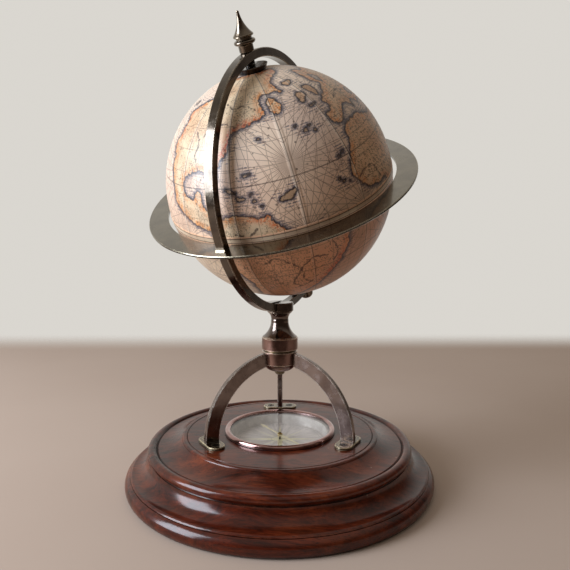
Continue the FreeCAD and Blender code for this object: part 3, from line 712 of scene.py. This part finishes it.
def lacquered_wood():
    """Dark red-brown hardwood: straight figure, pores, painted shade in the turned grooves and a clear gloss.
    """
    s = Shader("turned_hardwood")
    here = s.object_coordinates()
    bend = s.math("MULTIPLY_ADD", s.noise(here, 14, 2), 0.03, -0.015)
    bent = s.vector("ADD", here, s.join(0, bend, bend))
    figure = s.noise(s.place((9, 95, 120), source=bent), 1.0, 6, 0.62, 0.6)
    bands = s.noise(s.place((5, 40, 46), source=bent), 1.0, 3, 0.5, 0.8)
    streaks = s.noise(s.place((55, 620, 700), source=bent), 1.0, 4, 0.6, 0.3)
    pores = s.noise(s.place((190, 2600, 2600), source=here), 1.0, 2, 0.5)
    broad = s.noise(here, 26, 4, 0.6)
    tone = s.math("ADD", s.times(figure, 0.45), s.math("MULTIPLY_ADD", bands, 0.25, s.times(streaks, 0.3)))
    colour = s.ramp(tone, (0.35, srgb(24, 7, 3)), (0.46, srgb(58, 18, 7)), (0.56, srgb(86, 30, 12)),
                    (0.68, srgb(127, 60, 30)))
    colour = s.mix(s.fade(broad, 0.46, 0.7, 0, 0.5), colour, srgb(128, 60, 30))
    mottle = s.noise(s.place((70, 210, 230), source=bent), 1.0, 5, 0.65, 0.5)
    colour = s.mix(s.fade(mottle, 0.52, 0.36, 0, 0.42), colour, srgb(18, 6, 3))
    pore = s.times(s.fade(pores, 0.56, 0.66), 0.6)
    colour = s.mix(pore, colour, srgb(20, 8, 5))
    # painted shade: grooves and corners darkened nearly to black
    groove_shade = s.crevices(2.2 * MM)
    colour = s.mix(s.times(groove_shade, 0.95), colour, srgb(8, 4, 3))
    edge = s.edges(0.5 * MM)
    rubbed = s.times(edge, s.fade(s.noise(here, 130, 4, 0.7), 0.45, 0.7), 0.45)
    colour = s.mix(rubbed, colour, srgb(150, 88, 58))
    chips, chip_colour = s.cells(here, 170)
    chip = s.times(s.fade(chips, 0.1, 0.05), s.fade(s.split(chip_colour)[0], 0.84, 0.86), s.either(edge, 0.4))
    colour = s.mix(chip, colour, srgb(190, 160, 138))
    haze = s.math("MULTIPLY_ADD", broad, 0.16, 0.36)
    height = s.math("ADD", s.times(streaks, 0.5), s.times(pores, -0.6))
    wavy = s.bump(s.noise(here, 70, 3), 0.35 * MM)
    return s.finish(Base_Color=colour, Roughness=haze, Normal=s.bump(height, 0.05 * MM, wavy),
                    Specular_IOR_Level=0.04, Coat_Weight=0.72, Coat_Roughness=0.17)


def felt():
    """Dark green felt with a short fibre."""
    s = Shader("pressed_felt")
    here = s.object_coordinates()
    fibre = s.noise(s.place((900, 2600, 2600), (0, 0, 0.6)), 1.0, 4, 0.7, 1.2)
    colour = s.mix(fibre, srgb(16, 30, 22), srgb(44, 66, 52))
    colour = s.mix(s.times(s.noise(here, 80), 0.4), colour, srgb(20, 26, 22))
    return s.finish(Base_Color=colour, Roughness=0.95, Sheen_Weight=0.4, Normal=s.bump(fibre, 0.25 * MM))


def dial_card():
    """Silvered card with a pointed star, a ruled ring and divisions. It carries no letters."""
    s = Shader("silvered_dial")
    here = s.object_coordinates()
    x, y, _ = s.split(here)
    radius = s.times(s.math("SQRT", s.math("ADD", s.times(x, x), s.times(y, y))), 1000)
    angle = s.math("ARCTAN2", y, x)

    def star(points, tip, waist, turn):
        """1 inside a star of straight-sided points."""
        half = math.pi / points
        off = s.math("ABSOLUTE", s.math("WRAP", s.math("SUBTRACT", angle, turn), half, -half))
        reach = s.math("ADD", s.times(s.math("SINE", off), tip),
                       s.times(s.math("SINE", s.math("SUBTRACT", half, off)), waist))
        edge = s.math("DIVIDE", tip * waist * math.sin(half), reach)
        return s.fade(s.math("SUBTRACT", radius, edge), 0.12, -0.12)

    def ring(at, width):
        return s.fade(s.math("ABSOLUTE", s.math("SUBTRACT", radius, at)), width, width * 0.4)

    def divisions(count, inner, outer, width):
        period = 2 * math.pi / count
        off = s.times(s.math("ABSOLUTE", s.math("WRAP", angle, period / 2, -period / 2)), radius)
        within = s.times(s.fade(radius, inner - 0.1, inner + 0.1), s.fade(radius, outer + 0.1, outer - 0.1))
        return s.times(s.fade(off, width, width * 0.4), within)

    blaze = s.noise(s.join(s.times(radius, 0.05), s.times(angle, 14), 0), 1.0, 3)
    colour = s.mix(s.fade(blaze, 0.3, 0.7), srgb(190, 182, 177), srgb(224, 215, 208))
    pale = srgb(224, 218, 190)
    colour = s.mix(s.times(star(8, 19.5, 5.0, math.pi / 8), 0.45), colour, srgb(160, 151, 136))
    colour = s.mix(s.times(star(8, 23.5, 3.4, 0), 0.75), colour, pale)
    colour = s.mix(s.times(star(4, 25.5, 2.6, 0), 0.6), colour, srgb(240, 232, 184))
    ink = s.either(ring(28.6, 0.16), ring(26.6, 0.1), ring(5.6, 0.12), divisions(72, 26.6, 28.6, 0.12),
                   divisions(16, 24.4, 26.6, 0.16))
    colour = s.mix(s.times(ink, 0.8), colour, srgb(44, 40, 34))
    stain = s.times(s.fade(s.noise(here, 120, 4, 0.65), 0.5, 0.75), 0.3)
    return s.finish(Base_Color=s.mix(stain, colour, srgb(104, 96, 76)), Roughness=0.38, Metallic=0.1,
                    Normal=s.bump(blaze, 0.02 * MM))


def clear_glass():
    """Flat window glass: what is behind it shows, with a mirror's share by angle."""
    s = Shader("window_glass")
    here = s.object_coordinates()
    through = s.node("BsdfTransparent")
    through.inputs["Color"].default_value = (0.96, 0.96, 0.96, 1)
    gloss = s.node("BsdfGlossy")
    s.put(gloss.inputs["Roughness"], s.math("MULTIPLY_ADD", s.noise(here, 200, 4), 0.06, 0.01))
    fresnel = s.node("Fresnel")
    fresnel.inputs["IOR"].default_value = 1.5
    outside = s.math("SUBTRACT", 1, s.node("NewGeometry").outputs["Backfacing"])
    blend = s.node("MixShader")
    s.put(blend.inputs[0], s.times(fresnel.outputs[0], outside))
    s.put(blend.inputs[1], through.outputs[0])
    s.put(blend.inputs[2], gloss.outputs[0])
    s.out(blend.outputs[0])
    return s.material


def board():
    """Flecked pulp board, inside the ball."""
    s = Shader("pulp_board")
    here = s.object_coordinates()
    fleck = s.noise(here, 700, 4, 0.7)
    colour = s.mix(fleck, srgb(146, 124, 96), srgb(186, 164, 132))
    return s.finish(Base_Color=colour, Roughness=0.85, Normal=s.bump(fleck, 0.1 * MM))


def solder():
    """Dull, lumpy solder."""
    s = Shader("run_solder")
    here = s.object_coordinates()
    lump = s.noise(here, 700, 3, 0.6)
    colour = s.mix(lump, srgb(120, 108, 88), srgb(176, 164, 142))
    return s.finish(Base_Color=colour, Metallic=1.0, Roughness=s.math("MULTIPLY_ADD", lump, 0.2, 0.2),
                    Normal=s.bump(lump, 0.1 * MM))


def silver_paint():
    """Grey paint inside the compass."""
    s = Shader("silver_paint")
    here = s.object_coordinates()
    cloud = s.noise(here, 160, 4, 0.6)
    colour = s.mix(s.fade(cloud, 0.3, 0.7), srgb(184, 177, 170), srgb(214, 208, 200))
    return s.finish(Base_Color=colour, Metallic=0.2, Roughness=s.math("MULTIPLY_ADD", cloud, 0.2, 0.35),
                    Normal=s.bump(s.noise(here, 1200, 2), 0.01 * MM))


def pale_needle():
    """Brass with a pale lacquer."""
    s = Shader("pale_needle")
    here = s.object_coordinates()
    cloud = s.noise(here, 300, 4, 0.6)
    colour = s.mix(cloud, srgb(214, 200, 150), srgb(240, 231, 196))
    return s.finish(Base_Color=colour, Metallic=0.3, Roughness=s.math("MULTIPLY_ADD", cloud, 0.2, 0.25),
                    Normal=s.bump(cloud, 0.01 * MM))


def dress(material, *nodes):
    """Gives CAD nodes a material."""
    for name in nodes:
        for slot in frame["nodes"][name].material_slots:
            slot.material = material


# ---- floor, light and camera --------------------------------------------------------------------

FLOOR_HALF_X = 0.75
FLOOR_HALF_Y = 0.44
FLOOR_MIDDLE_Y = 0.08
FLOOR_Z = -0.1 * MM      # just clear of the felt
FLOOR_FADE = 0.13        # the floor melts into the backdrop within this distance of its edges


def floor():
    """Plain matt floor whose edges fade out, so that no hard horizon crosses the picture."""
    corners = [(-FLOOR_HALF_X, -FLOOR_HALF_Y), (FLOOR_HALF_X, -FLOOR_HALF_Y), (FLOOR_HALF_X, FLOOR_HALF_Y),
               (-FLOOR_HALF_X, FLOOR_HALF_Y)]
    sheet = new_object("floor", [(x, y + FLOOR_MIDDLE_Y, FLOOR_Z) for x, y in corners], [(0, 1, 2, 3)],
                       smooth=False)
    s = Shader("pale_floor")
    here = s.object_coordinates()
    x, y, _ = s.split(here)
    card = s.node("BsdfPrincipled")
    s.put(card.inputs["Base Color"], s.mix(s.noise(here, 6, 2), srgb(182, 163, 149), srgb(190, 172, 158)))
    card.inputs["Roughness"].default_value = 0.6
    card.inputs["Specular IOR Level"].default_value = 0.0
    past_x = s.fade(s.math("ABSOLUTE", x), FLOOR_HALF_X - FLOOR_FADE, FLOOR_HALF_X)
    off_y = s.math("SUBTRACT", y, FLOOR_MIDDLE_Y)
    past_y = s.fade(s.math("ABSOLUTE", off_y), FLOOR_HALF_Y - FLOOR_FADE, FLOOR_HALF_Y)
    blend = s.node("MixShader")
    s.put(blend.inputs[0], s.either(past_x, past_y))
    s.put(blend.inputs[1], card.outputs[0])
    s.put(blend.inputs[2], s.node("BsdfTransparent").outputs[0])
    s.out(blend.outputs[0])
    sheet.data.materials.append(s.material)


WINDOW_BEARING = 200     # degrees round from +X
WINDOW_HEIGHT = 15       # degrees above level
WINDOW_DISTANCE = 1.0
WINDOW_SIZE = (0.54, 0.76)
WINDOW_POWER = 16.2
WINDOW_COLOUR = (0.87, 0.94, 1.05)
WINDOW_AIM = Vector((0, 0, 0.15))


def window():
    """Area light that faces the object."""
    around, up = math.radians(WINDOW_BEARING), math.radians(WINDOW_HEIGHT)
    away = Vector((math.cos(up) * math.cos(around), math.cos(up) * math.sin(around), math.sin(up)))
    light = bpy.data.lights.new("window", "AREA")
    light.shape = "RECTANGLE"
    light.size, light.size_y = WINDOW_SIZE
    light.energy = WINDOW_POWER
    light.color = WINDOW_COLOUR
    lamp = bpy.data.objects.new("window", light)
    lamp.location = WINDOW_AIM + WINDOW_DISTANCE * away
    lamp.rotation_euler = away.to_track_quat("Z", "Y").to_euler()
    bpy.context.scene.collection.objects.link(lamp)


BACKDROP = (0.70, 0.675, 0.63, 1)
ROOM = (0.075, 0.052, 0.039, 1)
CEILING = (0.46, 0.42, 0.37, 1)
BACKDROP_BEARING = (-0.34, 0.94, 0)


def lighting():
    """One tall soft window on the left, in a room that is pale behind and above and dim in front.

    The picture's own background is the plain backdrop, whichever way the camera looks."""
    window()
    world = bpy.data.worlds.new("studio")
    world.use_nodes = True
    tree = world.node_tree
    direction = tree.nodes.new("ShaderNodeTexCoord").outputs["Generated"]

    def share(bearing, start, end):
        """From 0 to 1 as a direction turns towards a bearing."""
        towards = tree.nodes.new("ShaderNodeVectorMath")
        towards.operation = "DOT_PRODUCT"
        tree.links.new(direction, towards.inputs[0])
        towards.inputs[1].default_value = bearing
        ramp = tree.nodes.new("ShaderNodeMapRange")
        ramp.interpolation_type = "SMOOTHSTEP"
        ramp.inputs["From Min"].default_value = start
        ramp.inputs["From Max"].default_value = end
        tree.links.new(towards.outputs["Value"], ramp.inputs["Value"])
        return ramp.outputs[0]

    def blend(amount, below, above):
        mixer = tree.nodes.new("ShaderNodeMix")
        mixer.data_type = "RGBA"
        tree.links.new(amount, mixer.inputs[0])
        if isinstance(below, bpy.types.NodeSocket):
            tree.links.new(below, mixer.inputs[MIX_A])
        else:
            mixer.inputs[MIX_A].default_value = below
        mixer.inputs[MIX_B].default_value = above
        return mixer.outputs[MIX_RESULT]

    colour = blend(share((0, 0, 1), 0.25, 0.9), ROOM, CEILING)
    colour = blend(share(BACKDROP_BEARING, 0.1, 0.8), colour, BACKDROP)
    colour = blend(tree.nodes.new("ShaderNodeLightPath").outputs["Is Camera Ray"], colour, BACKDROP)
    tree.links.new(colour, tree.nodes["Background"].inputs["Color"])
    bpy.context.scene.world = world
    bpy.context.scene.view_settings.view_transform = "Standard"


CAMERA_PLACE = (0.7 * MM, -353.0 * MM, 158.1 * MM)
CAMERA_DOWN = 5.28       # degrees below level
CAMERA_RIGHT = 0.43      # degrees round from +Y
FOCAL_SHARE = 554.3 / 570   # focal length over the picture's width
SENSOR_WIDTH = 36        # mm
NEAR_CLIP = 0.01


def camera():
    data = bpy.data.cameras.new("camera")
    data.sensor_width = SENSOR_WIDTH
    data.lens = SENSOR_WIDTH * FOCAL_SHARE
    data.clip_start = NEAR_CLIP
    lens = bpy.data.objects.new("camera", data)
    lens.location = CAMERA_PLACE
    lens.rotation_euler = Euler((math.radians(90 - CAMERA_DOWN), 0, -math.radians(CAMERA_RIGHT)))
    bpy.context.scene.collection.objects.link(lens)
    bpy.context.scene.camera = lens


# ---- assembly -----------------------------------------------------------------------------------

def globe_shells():
    world_map = WorldMap()
    paper = map_paper()
    for pole, sign in (("north", 1), ("south", -1)):
        shell = half_shell(pole + "_map_shell", sign, world_map)
        shell.data.materials.append(paper)
        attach(shell, "globe")
        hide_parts(pole + "_hemisphere")


# name, darker and lighter patina, rubbed edges that are partly a painted highlight, roughness, other
# settings, CAD nodes
METALS = [
    ("bronze_meridian", (82, 74, 66), (108, 98, 87), (224, 208, 186), 0.11,
     {"brushed": round_meridian, "lacquer": 0.35}, ["meridian_ring"]),
    ("bronze_horizon", (116, 109, 96), (132, 124, 108), (240, 228, 196), 0.15,
     {"brushed": round_axle, "rim": AXLE, "edge": 0.25 * MM}, ["horizon_ring"]),
    ("bronze_legs", (116, 101, 94), (146, 131, 124), (255, 246, 234), 0.18,
     {"depth": 0.008 * MM, "wear_and_glint": 1.0}, ["leg_back", "leg_left", "leg_right"]),
    ("bronze_neck", (92, 80, 74), (124, 109, 99), (214, 196, 172), 0.1,
     {"brushed": round_stand}, ["neck"]),
    ("bronze_collar", (114, 87, 79), (144, 113, 104), (255, 238, 214), 0.1,
     {"brushed": round_stand, "wear_and_glint": 1.0, "edge": 0.8 * MM}, ["swivel_collar", "leg_hub"]),
    ("bronze_turned", (88, 78, 67), (128, 114, 97), (220, 202, 172), 0.12,
     {"brushed": round_axle}, ["finial", "south_nut"]),
    ("black_caps", (24, 19, 16), (40, 32, 27), (110, 94, 76), 0.14,
     {"brushed": round_axle}, ["north_cap", "south_cap", "north_washer", "south_washer"]),
    ("copper_bezel", (154, 118, 113), (190, 152, 147), (248, 226, 218), 0.08,
     {"brushed": round_stand}, ["compass_bezel"]),
    ("brass_plates", (78, 66, 50), (118, 100, 75), (255, 240, 204), 0.2,
     {"wear_and_glint": 1.0, "edge": 0.8 * MM}, ["foot_plate_back", "foot_plate_left", "foot_plate_right", "stud_nut"]),
    ("brass_bright", (174, 146, 84), (214, 186, 116), (244, 224, 164), 0.2,
     {}, ["needle_cap", "swivel_washer", "north_bush", "south_bush"]),
    ("black_screws", (10, 8, 7), (22, 18, 15), (120, 104, 82), 0.3,
     {"lacquer": 0.1}, ["foot_screws", "ring_screw"]),
    ("bare_steel", (56, 52, 50), (92, 88, 86), (190, 186, 182), 0.2,
     {}, ["axle", "centre_stud", "compass_pivot"]),
]


def metals():
    for name, dark, warm, worn, roughness, settings, nodes in METALS:
        dress(bronze(name, srgb(*dark), srgb(*warm), srgb(*worn), roughness, **settings), *nodes)


globe_shells()
metals()
dress(lacquered_wood(), "wood_base")
dress(felt(), "felt_pad")
dress(dial_card(), "compass_dial")
dress(silver_paint(), "compass_case", "dial_support", "spacer_ring")
dress(pale_needle(), "compass_needle")
dress(clear_glass(), "compass_glass")
dress(tape_paper(), "equator_tape")
dress(board(), "equator_hoop")
dress(solder(), "solder_fillets")
floor()
lighting()
camera()
